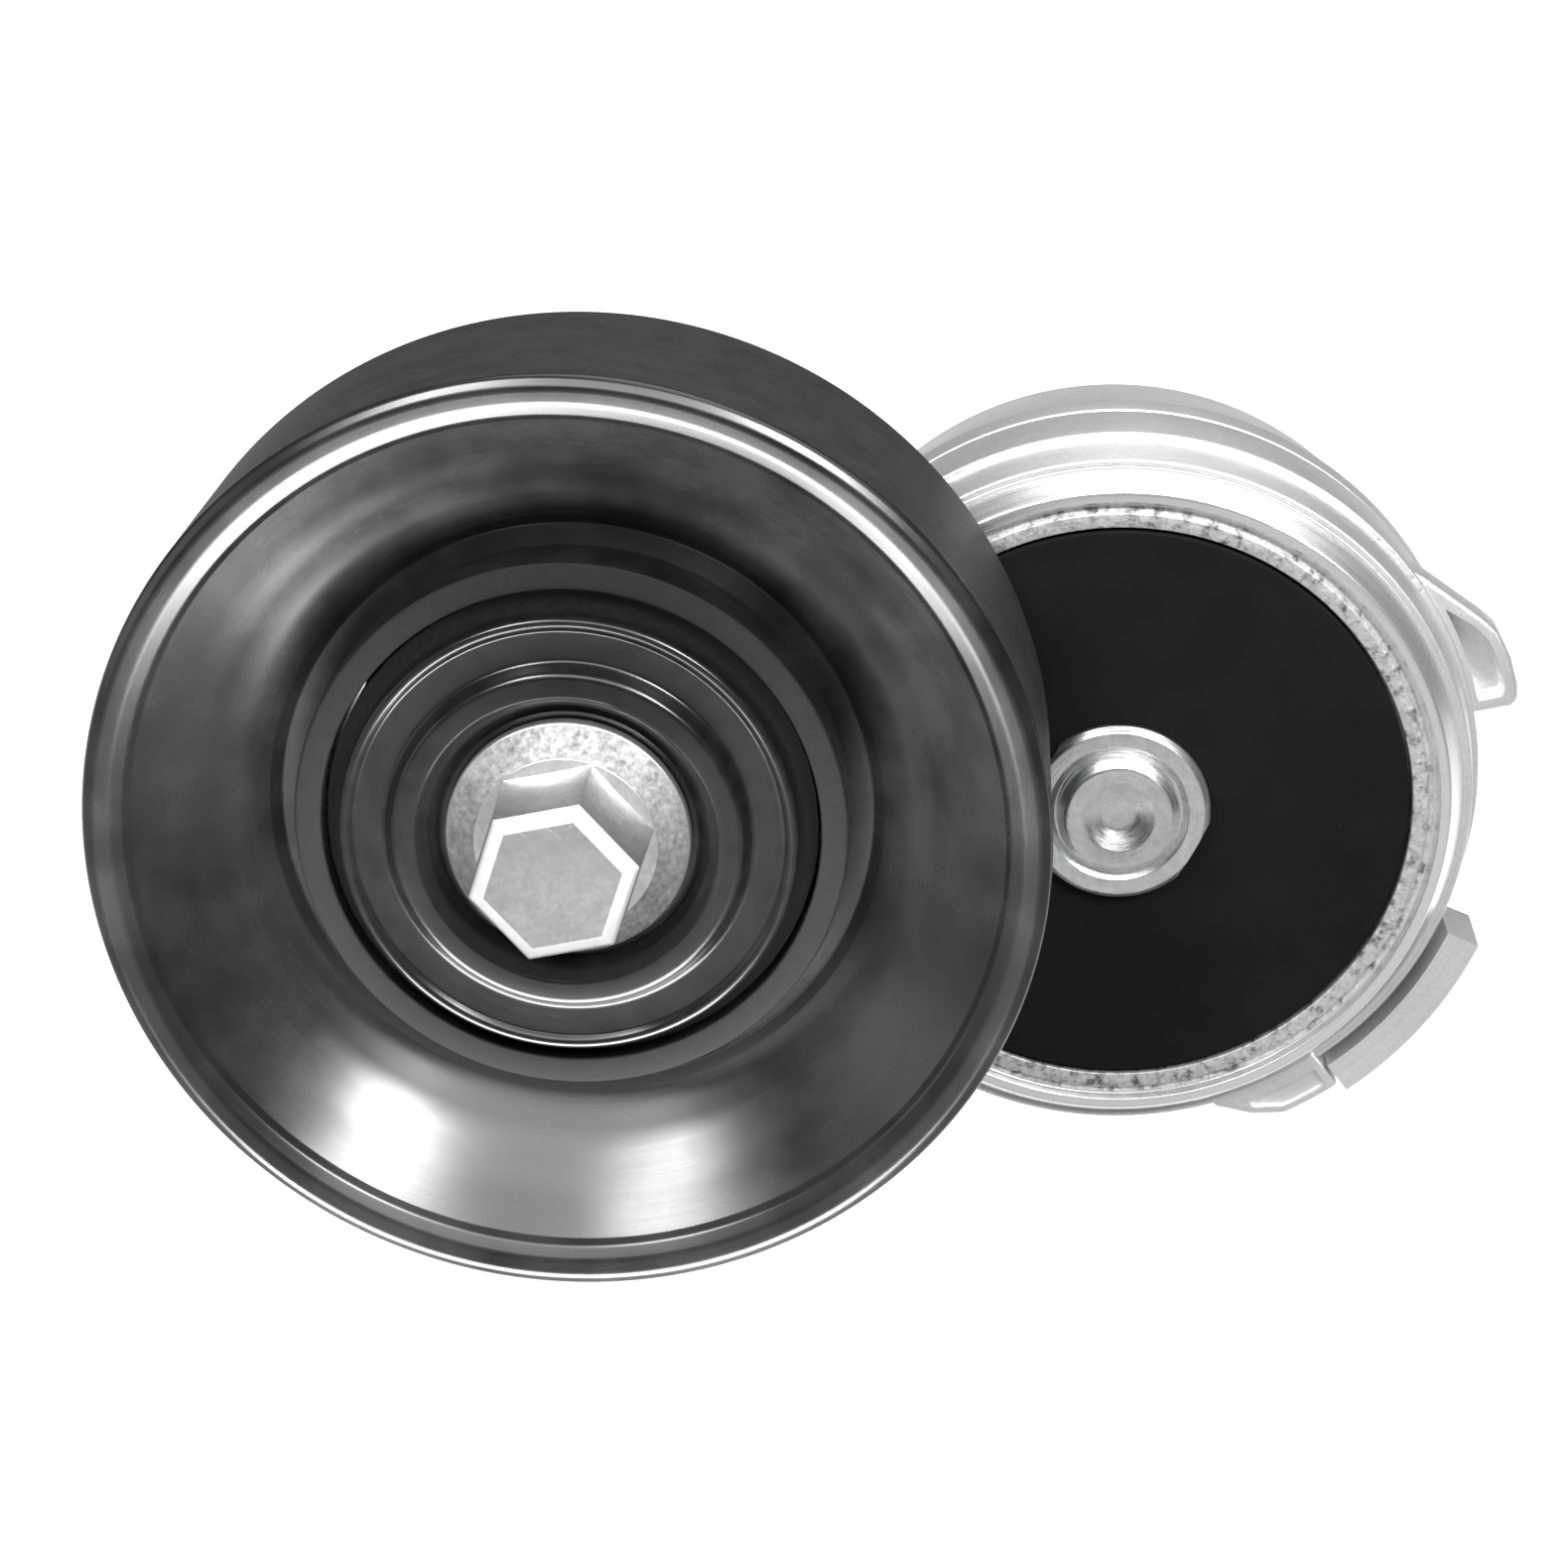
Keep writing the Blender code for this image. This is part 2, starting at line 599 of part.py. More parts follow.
def bolt_hexagon(low):
    """The forged hexagon: slightly tapered, with a wide rounded chamfer round its flat top."""
    edge, chamfer = 0.9, 0.35
    levels = ((BOLT_FLATS, low), (BOLT_FLATS_HIGH, BOLT_TOP - edge),
              (BOLT_FLATS_HIGH - 2 * chamfer, BOLT_TOP - chamfer), (BOLT_FLATS_TOP, BOLT_TOP))
    work = bmesh.new()
    for flats, height in levels:
        for corner in range(6):
            x, y = polar(flats / math.sqrt(3), BOLT_TURN + 60 * corner)
            work.verts.new((MM * x, MM * y, MM * height))
    bmesh.ops.convex_hull(work, input=work.verts)
    mesh = bpy.data.meshes.new("bolt_hexagon")
    work.to_mesh(mesh)
    work.free()
    return place(bpy.data.objects.new("bolt_hexagon", mesh), "bolt_hexagon", idler_axis, None, cutters)


# Build -------------------------------------------------------------------------------------------

clear_scene()
parts = new_collection("belt_tensioner_idler")
cutters = new_collection("cutters")

cast_aluminium = new_material("cast_aluminium", (0.72, 0.72, 0.72), 0.45, 1.0)
black_enamel = new_material("black_enamel", (0.03, 0.03, 0.03), 0.25, 0.3)
black_plate = new_material("black_plate", (0.012, 0.012, 0.012), 0.7, 0.2)
zinc_steel = new_material("zinc_steel", (0.75, 0.75, 0.74), 0.35, 1.0)
bright_steel = new_material("bright_steel", (0.7, 0.7, 0.7), 0.28, 1.0)
bearing_steel = new_material("bearing_steel", (0.55, 0.55, 0.56), 0.2, 1.0)
spring_steel = new_material("spring_steel", (0.2, 0.2, 0.21), 0.4, 0.9)
black_rubber = new_material("black_rubber", (0.015, 0.015, 0.015), 0.6, 0.0)
nylon = new_material("nylon", (0.62, 0.6, 0.52), 0.5, 0.0)

base_axis = new_empty("base_axis")
arm_axis = new_empty("arm_axis")
idler_axis = new_empty("idler_axis", (-CENTRE_DISTANCE, 0, 0), arm_axis)
pulley_axis = new_empty("pulley_axis", (-CENTRE_DISTANCE, 0, 0))
cage_axis = new_empty("cage_axis", (-CENTRE_DISTANCE, 0, 0))

base_housing()
pivot_shaft()
front_cap_plate()
friction_washer()
spring_seat()
torsion_spring()
locating_pin()

tensioner_arm()
pivot_bushings()
damper_shoe()

bearing_sleeve()
bearing_inner_ring()
rear_dust_shield()
front_dust_shield()
pulley_bolt()

pulley()
bearing_outer_ring()
bearing_seals()
bearing_cage()
bearing_balls()
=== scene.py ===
"""Looks of the belt tensioner idler: fine pieces and their materials, around the CAD frame."""
import json
import math

import bmesh
import bpy
from mathutils import Matrix, Vector


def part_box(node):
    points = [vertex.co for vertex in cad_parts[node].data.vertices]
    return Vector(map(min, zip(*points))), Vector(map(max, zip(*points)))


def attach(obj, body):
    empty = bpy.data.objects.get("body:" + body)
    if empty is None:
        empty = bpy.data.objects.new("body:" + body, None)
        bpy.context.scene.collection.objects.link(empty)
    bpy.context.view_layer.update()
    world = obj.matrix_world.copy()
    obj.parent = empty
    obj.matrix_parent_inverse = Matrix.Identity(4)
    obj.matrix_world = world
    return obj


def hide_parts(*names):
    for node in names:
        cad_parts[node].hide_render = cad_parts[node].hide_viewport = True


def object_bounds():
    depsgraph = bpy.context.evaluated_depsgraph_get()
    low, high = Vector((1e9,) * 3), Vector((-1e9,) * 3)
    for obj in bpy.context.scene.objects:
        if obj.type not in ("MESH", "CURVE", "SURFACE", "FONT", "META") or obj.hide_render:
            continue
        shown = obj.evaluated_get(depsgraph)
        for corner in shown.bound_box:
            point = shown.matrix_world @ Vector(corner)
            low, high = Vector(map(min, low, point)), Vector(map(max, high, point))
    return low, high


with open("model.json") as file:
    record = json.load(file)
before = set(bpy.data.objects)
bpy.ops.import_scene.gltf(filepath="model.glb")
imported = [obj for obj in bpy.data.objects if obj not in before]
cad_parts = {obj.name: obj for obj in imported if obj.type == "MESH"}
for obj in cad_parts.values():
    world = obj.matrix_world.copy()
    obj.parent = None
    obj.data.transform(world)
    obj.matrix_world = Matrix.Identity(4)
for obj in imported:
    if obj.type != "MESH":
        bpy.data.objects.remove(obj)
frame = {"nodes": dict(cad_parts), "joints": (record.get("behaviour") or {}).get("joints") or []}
cad_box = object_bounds()

MM = 0.001
SMOOTH = 256                    # steps round a turned piece
SMALL_SMOOTH = 64               # the same, for small pieces and holes
SHARP = 35                      # edges bent more than this, in degrees, stay sharp
joints = {joint["name"]: joint for joint in frame["joints"]}
PIVOT = Vector(joints["arm_swing"]["pos_m"])
IDLER = Vector(joints["pulley_spin"]["pos_m"])


# Measures of the frame, in mm: radii about an axis, heights forward (-Y) from the mounting face -----

def front_of(node):
    return -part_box(node)[0].y / MM


def back_of(node):
    return -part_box(node)[1].y / MM


def radius_of(node):
    low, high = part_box(node)
    return (high.z - low.z) / 2 / MM


PULLEY_R, PULLEY_BACK = radius_of("pulley"), back_of("pulley")
PULLEY_TOP = 66.4               # about the height of the rim
SHEET = 2.3                     # thickness of the wall under the belt
HUB_OUTER, HUB_INNER, HUB_FACE, HUB_BACK = 26.1, 23.5, 60.8, 44.2
SHIELD_R, SHIELD_TOP = radius_of("front_dust_shield"), front_of("front_dust_shield")
BOLT_TOP, FLANGE_R = front_of("pulley_bolt"), radius_of("pulley_bolt")
PLATE_R, PLATE_TOP = radius_of("front_cap_plate"), front_of("front_cap_plate")
PIVOT_TOP = front_of("pivot_shaft")
PIN_LOW, PIN_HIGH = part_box("locating_pin")
PIN_AXIS = Vector(((PIN_LOW.x + PIN_HIGH.x) / 2, 0, (PIN_LOW.z + PIN_HIGH.z) / 2))
BOLT_HOLE = 5.3                 # radius of the holes that the pulley bolt passes
CASE_R = 36.5                   # spring case and arm skirt at their widest
RING_TOP = 38.8                 # the arm's ring round the cap plate
TURNED_LOW, TURNED_HIGH = 31.2, 34.4        # inner and outer radius of the ring's turned part


# Shapes ------------------------------------------------------------------------------------------

def polar(radius, degrees):
    return radius * math.cos(math.radians(degrees)), radius * math.sin(math.radians(degrees))


def arc(radius, start, end, steps):
    return [polar(radius, start + (end - start) * step / steps) for step in range(steps + 1)]


def rounded(corners, segments=6):
    """Points of a polyline whose corners (x, y, radius) become arcs; a corner without radius stays."""
    points = []
    for index, corner in enumerate(corners):
        radius = corner[2] if len(corner) > 2 else 0
        here = Vector(corner[:2])
        if not radius:
            points.append(tuple(here))
            continue
        back = (Vector(corners[index - 1][:2]) - here).normalized()
        ahead = (Vector(corners[(index + 1) % len(corners)][:2]) - here).normalized()
        half = back.angle(ahead) / 2
        centre = here + (back + ahead).normalized() * radius / math.sin(half)
        first = here + back * radius / math.tan(half) - centre
        last = here + ahead * radius / math.tan(half) - centre
        turn = first.angle_signed(last)
        for step in range(segments + 1):
            angle = -turn * step / segments
            spoke = Vector((first.x * math.cos(angle) - first.y * math.sin(angle),
                            first.x * math.sin(angle) + first.y * math.cos(angle)))
            points.append(tuple(centre + spoke))
    return points


def to_frame(centre, x, y, height):
    """A face-on place (x right, y up, height towards the front, mm) in the row frame."""
    return centre + Vector((x, -height, y)) * MM


def mesh_object(name, work, sharp=SHARP):
    """Welds the mesh and makes it an object, with edges bent more than sharp degrees left sharp."""
    bmesh.ops.remove_doubles(work, verts=work.verts, dist=0.000002)
    bmesh.ops.recalc_face_normals(work, faces=work.faces)
    mesh = bpy.data.meshes.new(name)
    work.to_mesh(mesh)
    work.free()
    mesh.shade_smooth()
    mesh.set_sharp_from_angle(angle=math.radians(sharp))
    thing = bpy.data.objects.new(name, mesh)
    bpy.context.scene.collection.objects.link(thing)
    return thing


def spun(name, profile, centre=PIVOT, steps=SMOOTH, swell=None):
    """A closed outline of (radius, height) points turned about an axis along Y through centre.

    swell(radius, height, degrees) gives what is added to the radius there.
    """
    work = bmesh.new()
    rings = []
    for radius, height in profile:
        if radius <= 0:
            rings.append([work.verts.new(to_frame(centre, 0, 0, height))] * steps)
            continue
        ring = []
        for step in range(steps):
            degrees = 360 * step / steps
            there = radius + (swell(radius, height, degrees) if swell else 0.0)
            ring.append(work.verts.new(to_frame(centre, *polar(there, degrees), height)))
        rings.append(ring)
    for ring, other in zip(rings, rings[1:] + rings[:1]):
        for step in range(steps):
            after = (step + 1) % steps
            corners = dict.fromkeys((ring[step], ring[after], other[after], other[step]))
            if len(corners) > 2:
                work.faces.new(list(corners))
    return mesh_object(name, work)


def slab(name, outline, low, high, edge=0.0):
    """A flat outline about the pivot made into a slab between two heights, with rounded edges."""
    work = bmesh.new()
    sole = work.faces.new([work.verts.new(to_frame(PIVOT, x, y, low)) for x, y in outline])
    grown = bmesh.ops.extrude_face_region(work, geom=[sole])
    top = [item for item in grown["geom"] if isinstance(item, bmesh.types.BMVert)]
    bmesh.ops.translate(work, verts=top, vec=(0, -(high - low) * MM, 0))
    thing = mesh_object(name, work, 60)
    if edge:
        soften(thing, edge)
    return thing


def soften(thing, width):
    """Rounds the sharp edges."""
    bevel = thing.modifiers.new("soft_edges", "BEVEL")
    bevel.width = width * MM
    bevel.segments = 3
    bevel.limit_method = "ANGLE"
    bevel.angle_limit = math.radians(25)


def boolean(target, operation, others):
    """Applies a boolean with each of the others and removes them."""
    for other in others:
        step = target.modifiers.new(operation, "BOOLEAN")
        step.operation = operation
        step.solver = "EXACT"
        step.object = other
    settle(target)
    for other in others:
        bpy.data.objects.remove(other, do_unlink=True)


def settle(thing):
    """Replaces the mesh by what its modifiers make of it."""
    bpy.context.view_layer.update()
    evaluated = thing.evaluated_get(bpy.context.evaluated_depsgraph_get())
    mesh = bpy.data.meshes.new_from_object(evaluated)
    thing.modifiers.clear()
    thing.data = mesh
    mesh.shade_smooth()
    mesh.set_sharp_from_angle(angle=math.radians(SHARP))


def finish_piece(thing, body, nodes, slot, *materials):
    """Lets the piece ride on its body and stand for its nodes, and gives it its materials."""
    thing.data.materials.clear()
    for material in materials:
        thing.data.materials.append(material)
    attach(thing, body)
    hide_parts(*nodes)
    return thing


# Node helpers --------------------------------------------------------------------------------------

STREAK = 0.15                   # reach of the noise in streaks and clouds


class Recipe:
    """A material's node tree with short ways to add to it."""

    def __init__(self, name):
        self.material = bpy.data.materials.new(name)
        self.material.use_nodes = True
        self.tree = self.material.node_tree
        self.shader = self.tree.nodes["Principled BSDF"]
        self.place = self.add("TexCoord").outputs["Object"]

    def add(self, kind, **inputs):
        """A new node; set_name=value sets a property, i0=value an input by number, Name=value one by name."""
        made = self.tree.nodes.new("ShaderNode" + kind)
        for key, value in inputs.items():
            if key.startswith("set_"):
                setattr(made, key[4:], value)
        for key, value in inputs.items():
            if not key.startswith("set_"):
                self.feed(made.inputs[int(key[1:]) if key[0] == "i" and key[1:].isdigit() else key], value)
        return made

    def feed(self, socket, value):
        if isinstance(value, bpy.types.NodeSocket):
            self.tree.links.new(value, socket)
        else:
            socket.default_value = value

    def math(self, operation, first, second=0.0):
        return self.add("Math", set_operation=operation, i0=first, i1=second).outputs[0]

    def band(self, value, low, high, soft):
        """1 where value is between low and high, 0 outside, with soft edges."""
        up = self.ramp(value, low - soft, low + soft, 0.0, 1.0)
        down = self.ramp(value, high - soft, high + soft, 1.0, 0.0)
        return self.math("MULTIPLY", up, down)

    def ramp(self, value, low, high, bottom, top):
        """Value from low to high becomes bottom to top, and stays at those outside."""
        return self.add("MapRange", Value=value, i1=low, i2=high, i3=bottom, i4=top).outputs[0]

    def spread(self, noise, bottom, top, reach=0.2):
        """Noise, which keeps near 0.5, becomes bottom to top."""
        return self.ramp(noise, 0.5 - reach, 0.5 + reach, bottom, top)

    def noise(self, scale, detail=4.0, roughness=0.5):
        """Scale is in features per millimetre."""
        made = self.add("TexNoise", Vector=self.place, Scale=scale / MM, Detail=detail, Roughness=roughness)
        return made.outputs["Fac"]

    def around(self, centre):
        """Radius from an axis through centre and height towards the front, in mm, and the angle."""
        split = self.add("SeparateXYZ", Vector=self.place).outputs
        x = self.math("SUBTRACT", split[0], centre.x)
        z = self.math("SUBTRACT", split[2], centre.z)
        square = self.math("ADD", self.math("MULTIPLY", x, x), self.math("MULTIPLY", z, z))
        radius = self.math("DIVIDE", self.math("SQRT", square), MM)
        height = self.math("DIVIDE", split[1], -MM)
        angle = self.math("ARCTAN2", z, x)
        return radius, height, angle

    def streaks(self, centre, fine=6.0, along=2.0, detail=3.0):
        """Noise drawn out round the axis, like tool marks."""
        radius, height, angle = self.around(centre)
        vector = self.add("CombineXYZ", X=self.math("MULTIPLY", radius, fine),
                          Y=self.math("MULTIPLY", height, fine), Z=self.math("MULTIPLY", angle, along))
        return self.add("TexNoise", Vector=vector.outputs[0], Scale=1.0, Detail=detail).outputs["Fac"]

    def mix(self, factor, first, second):
        """Between two colours."""
        made = self.add("Mix", set_data_type="RGBA", Factor=factor)
        self.feed(made.inputs[6], first)
        self.feed(made.inputs[7], second)
        return made.outputs[2]

    def blend(self, factor, first, second):
        """Between two numbers."""
        made = self.add("Mix", Factor=factor)
        self.feed(made.inputs[2], first)
        self.feed(made.inputs[3], second)
        return made.outputs[0]

    def grey(self, value):
        return self.add("CombineColor", Red=value, Green=value, Blue=value).outputs[0]

    def bump(self, height, distance):
        return self.add("Bump", Height=height, Distance=distance * MM, Strength=1.0).outputs[0]

    def set(self, **values):
        """Feeds the shader's inputs, with _ for a space in a name, and gives the material."""
        for key, value in values.items():
            self.feed(self.shader.inputs[key.replace("_", " ")], value)
        return self.material


# Materials ---------------------------------------------------------------------------------------

def cast_aluminium(name="cast_aluminium", turned=False):
    """Blasted die casting; turned adds the bright turned ring of the arm's front."""
    recipe = Recipe(name)
    grain = recipe.noise(2.2, 5.0, 0.62)
    patches = recipe.noise(0.10, 3.0, 0.5)
    pits = recipe.add("TexVoronoi", Vector=recipe.place, Scale=0.9 / MM).outputs["Distance"]
    tone = recipe.math("ADD", recipe.spread(grain, 0.66, 0.80), recipe.spread(patches, -0.05, 0.05))
    rough = recipe.spread(grain, 0.52, 0.38)
    relief = recipe.math("ADD", recipe.math("MULTIPLY", grain, 0.6), recipe.ramp(pits, 0.0, 0.3, 0.0, 0.4))
    wall_lines = recipe.streaks(PIVOT, 5.0, 1.0)
    tone = recipe.math("ADD", tone, recipe.spread(wall_lines, -0.03, 0.03, STREAK))
    if turned:
        tone, rough, relief = turned_front(recipe, grain, tone, rough, relief)
    return recipe.set(Base_Color=recipe.grey(tone), Metallic=0.9, Roughness=rough,
                      Normal=recipe.bump(relief, 0.07))


def turned_front(recipe, grain, tone, rough, relief):
    """Adds the turned ring on the arm's front, and the rough pitted ring between it and the cap plate."""
    edge = 0.12
    radius, height, _ = recipe.around(PIVOT)
    front = recipe.ramp(height, RING_TOP - 3.2, RING_TOP - 2.6, 0.0, 1.0)
    lines = recipe.streaks(PIVOT, 9.0, 1.2)
    bright = recipe.math("MULTIPLY", recipe.band(radius, TURNED_LOW, TURNED_HIGH, edge), front)
    tone = recipe.blend(bright, tone, recipe.spread(lines, 0.74, 0.88))
    rough = recipe.blend(bright, rough, recipe.spread(lines, 0.22, 0.36))
    relief = recipe.blend(bright, relief, recipe.math("MULTIPLY", lines, 0.3))
    chill = recipe.math("MULTIPLY", recipe.band(radius, PLATE_R + 0.1, TURNED_LOW, edge), front)
    blotch = recipe.noise(0.75, 4.0, 0.62)
    dark = recipe.ramp(blotch, 0.52, 0.66, 1.0, 0.30)
    tone = recipe.blend(chill, tone, recipe.math("MULTIPLY", recipe.spread(grain, 0.42, 0.66), dark))
    rough = recipe.blend(chill, rough, 0.62)
    relief = recipe.blend(chill, relief, recipe.math("MULTIPLY", blotch, 2.2))
    return tone, rough, relief


def pulley_enamel():
    """Black gloss enamel over spun steel, with faint spinning lines and clouding."""
    recipe = Recipe("pulley_enamel")
    lines = recipe.streaks(IDLER, 2.6, 1.1, 4.0)
    cloud = recipe.noise(0.11, 4.0, 0.55)
    gloss = recipe.math("ADD", recipe.spread(lines, 0.245, 0.265, STREAK), recipe.spread(cloud, -0.02, 0.04))
    return recipe.set(Base_Color=recipe.grey(recipe.spread(cloud, 0.004, 0.012, STREAK)), Metallic=0.0,
                      Roughness=gloss, Specular_IOR_Level=0.7, Normal=recipe.bump(lines, 0.0004))


def belt_enamel():
    """The belt face: the same enamel rubbed satin, with light wear."""
    recipe = Recipe("belt_enamel")
    cloud = recipe.noise(0.25, 5.0, 0.6)
    fine = recipe.noise(1.8, 4.0, 0.6)
    lines = recipe.streaks(IDLER, 3.0, 1.2, 4.0)
    tone = recipe.math("ADD", recipe.spread(cloud, 0.016, 0.026), recipe.spread(lines, -0.003, 0.003, STREAK))
    return recipe.set(Base_Color=recipe.grey(tone), Metallic=0.0, Roughness=recipe.spread(fine, 0.52, 0.62),
                      Specular_IOR_Level=0.25, Normal=recipe.bump(recipe.math("ADD", fine, lines), 0.01))


def hub_enamel():
    """The hub tube's end: dull and slightly rough from pressing."""
    recipe = Recipe("hub_enamel")
    fine = recipe.noise(1.8, 4.0, 0.6)
    return recipe.set(Base_Color=recipe.grey(recipe.spread(fine, 0.008, 0.013)), Metallic=0.0,
                      Roughness=recipe.spread(fine, 0.56, 0.68), Specular_IOR_Level=0.15,
                      Normal=recipe.bump(fine, 0.012))


def shield_enamel():
    """Deep black gloss, with fine turning steps."""
    recipe = Recipe("shield_enamel")
    lines = recipe.streaks(IDLER, 4.0, 0.8)
    fine = recipe.noise(0.6, 3.0, 0.5)
    return recipe.set(Base_Color=recipe.grey(recipe.spread(fine, 0.005, 0.010)), Metallic=0.0,
                      Roughness=recipe.spread(lines, 0.18, 0.23, STREAK), Specular_IOR_Level=0.5,
                      Normal=recipe.bump(lines, 0.004))


def zinc(name, low=0.64, high=0.84, metal=0.95, dull=0.0):
    """Zinc plate with faint crystalline mottling and handling marks; low and high bound its tone."""
    recipe = Recipe(name)
    crystals = recipe.add("TexVoronoi", Vector=recipe.place, Scale=0.7 / MM).outputs["Color"]
    spangle = recipe.add("SeparateColor", Color=crystals).outputs[0]
    fine = recipe.noise(1.6, 5.0, 0.65)
    stain = recipe.noise(0.35, 4.0, 0.6)
    tone = recipe.math("ADD", recipe.spread(fine, low, high), recipe.ramp(spangle, 0.0, 1.0, -0.03, 0.03))
    tone = recipe.math("ADD", tone, recipe.spread(stain, -0.06, 0.04, STREAK))
    rough = recipe.math("ADD", recipe.spread(fine, 0.44, 0.32), dull)
    relief = recipe.math("ADD", fine, recipe.math("MULTIPLY", spangle, 0.3))
    return recipe.set(Base_Color=recipe.grey(tone), Metallic=metal, Roughness=rough,
                      Normal=recipe.bump(relief, 0.02))


def cap_black():
    """Matt black coating with a very fine grain and a few grey dust specks."""
    recipe = Recipe("cap_black")
    fine = recipe.noise(3.2, 4.0, 0.7)
    cloud = recipe.noise(0.15, 3.0, 0.5)
    specks = recipe.math("GREATER_THAN", recipe.noise(1.6, 2.0, 0.5), 0.80)
    tone = recipe.math("ADD", recipe.spread(cloud, 0.0035, 0.0055), recipe.math("MULTIPLY", specks, 0.02))
    return recipe.set(Base_Color=recipe.grey(tone), Metallic=0.0, Roughness=recipe.spread(fine, 0.66, 0.78),
                      Specular_IOR_Level=0.12, Normal=recipe.bump(fine, 0.01))


def turned_steel(name, centre, low, high, gloss=0.22):
    """Bright steel with turning lines round an axis; low and high bound its tone."""
    recipe = Recipe(name)
    lines = recipe.streaks(centre, 8.0, 1.5)
    fine = recipe.noise(1.5, 4.0, 0.6)
    smear = recipe.noise(0.4, 4.0, 0.6)
    tone = recipe.math("ADD", recipe.spread(fine, low, high), recipe.spread(smear, -0.06, 0.05, STREAK))
    relief = recipe.math("ADD", lines, recipe.math("MULTIPLY", smear, 1.5))
    return recipe.set(Base_Color=recipe.grey(tone), Metallic=1.0,
                      Roughness=recipe.spread(lines, gloss, gloss + 0.16), Normal=recipe.bump(relief, 0.02))


def painted_shade_steel():
    """Nearly black steel: painted shade for the dark gap between the front shield and the pulley's hub."""
    recipe = Recipe("painted_shade_steel")
    fine = recipe.noise(2.0, 4.0, 0.6)
    return recipe.set(Base_Color=recipe.grey(recipe.spread(fine, 0.006, 0.012)), Metallic=0.3,
                      Roughness=recipe.spread(fine, 0.45, 0.6), Normal=recipe.bump(fine, 0.01))


def moulded(name, low, high, rough_low, rough_high):
    """Moulded nylon or rubber with a fine grain."""
    recipe = Recipe(name)
    fine = recipe.noise(3.0, 4.0, 0.6)
    cloud = recipe.noise(0.3, 3.0, 0.5)
    colour = recipe.mix(cloud, (*low, 1.0), (*high, 1.0))
    return recipe.set(Base_Color=colour, Roughness=recipe.spread(fine, rough_low, rough_high),
                      Normal=recipe.bump(fine, 0.02))


# Pieces --------------------------------------------------------------------------------------------

def paint(thing, slot, belongs):
    """Puts the material in that slot on the faces for which belongs(radius about the idler, height) holds."""
    for face in thing.data.polygons:
        spot = face.center - IDLER
        if belongs(math.hypot(spot.x, spot.z) / MM, -face.center.y / MM):
            face.material_index = slot


def make_pulley():
    """Stamped pulley: smooth belt face, beaded rim, coned web and hub tube."""
    inside = PULLEY_R - SHEET
    belt_end = PULLEY_BACK + 1.0
    front = rounded([
        (PULLEY_R, belt_end), (PULLEY_R, PULLEY_TOP - 0.3, 0.8), (43.9, PULLEY_TOP + 0.4, 1.0),
        (42.4, PULLEY_TOP + 0.05, 2.0), (41.2, 65.7, 1.0), (40.7, 65.0, 0.8), (37.0, 61.6, 50.0),
        (33.5, 58.7, 22.0), (29.3, 56.0, 1.4), (28.3, 55.1, 0.6), (HUB_OUTER, 54.8)], 12)
    back = rounded([
        (HUB_OUTER, 52.4), (28.8, 52.5, 0.6), (30.3, 53.7, 1.5), (34.9, 56.7, 3.0), (38.5, 59.8, 2.0),
        (42.2, 63.3, 0.4), (inside, 64.0, 0.3), (inside, PULLEY_BACK, 0.4), (PULLEY_R, PULLEY_BACK, 0.5),
        (PULLEY_R, belt_end)], 6)
    hub = rounded([
        (HUB_OUTER, 54.8), (HUB_OUTER, HUB_FACE, 0.3), (HUB_INNER, HUB_FACE, 0.25),
        (HUB_INNER, HUB_BACK, 0.2), (HUB_OUTER, HUB_BACK, 0.2), (HUB_OUTER, 52.4)], 4)
    profile = front[:-1] + hub[:-1] + back[:-1]
    shell = spun("pulley_shell", profile, IDLER)
    finish_piece(shell, "pulley", ["pulley"], "black_enamel", pulley_enamel(), belt_enamel(), hub_enamel())
    paint(shell, 1, lambda radius, height: radius > PULLEY_R - 0.3 and height < PULLEY_TOP - 0.8)
    near, far = HUB_INNER - 1, HUB_OUTER + 0.1
    paint(shell, 2, lambda radius, height: near < radius < far and height > HUB_FACE - 0.2)
    return shell


def make_front_shield():
    """Pressed cap: sunk seat under the bolt, raised bead, shallow groove and rolled edge."""
    seat, thick = 61.4, 1.0
    bead = SHIELD_TOP + 0.02
    front = rounded([
        (BOLT_HOLE, seat), (12.2, seat, 0.6), (13.2, seat + 1.6, 0.6), (14.2, bead, 0.6),
        (16.4, bead, 0.8), (17.2, 62.4, 0.6), (20.2, 62.6, 0.5), (SHIELD_R, 63.8, 0.6),
        (SHIELD_R, 60.0, 0.2), (SHIELD_R - thick, 60.0)], 5)
    back = rounded([(SHIELD_R - thick, 62.0, 0.3), (17.0, 61.3, 0.4), (16.0, SHIELD_TOP - 1.0, 0.4),
                    (14.4, SHIELD_TOP - 1.0, 0.4), (13.0, seat - thick, 0.4), (BOLT_HOLE, seat - thick)], 4)
    shield = spun("front_dust_shield_fine", front + back, IDLER)
    return finish_piece(shield, "arm", ["front_dust_shield"], "black_enamel", shield_enamel())


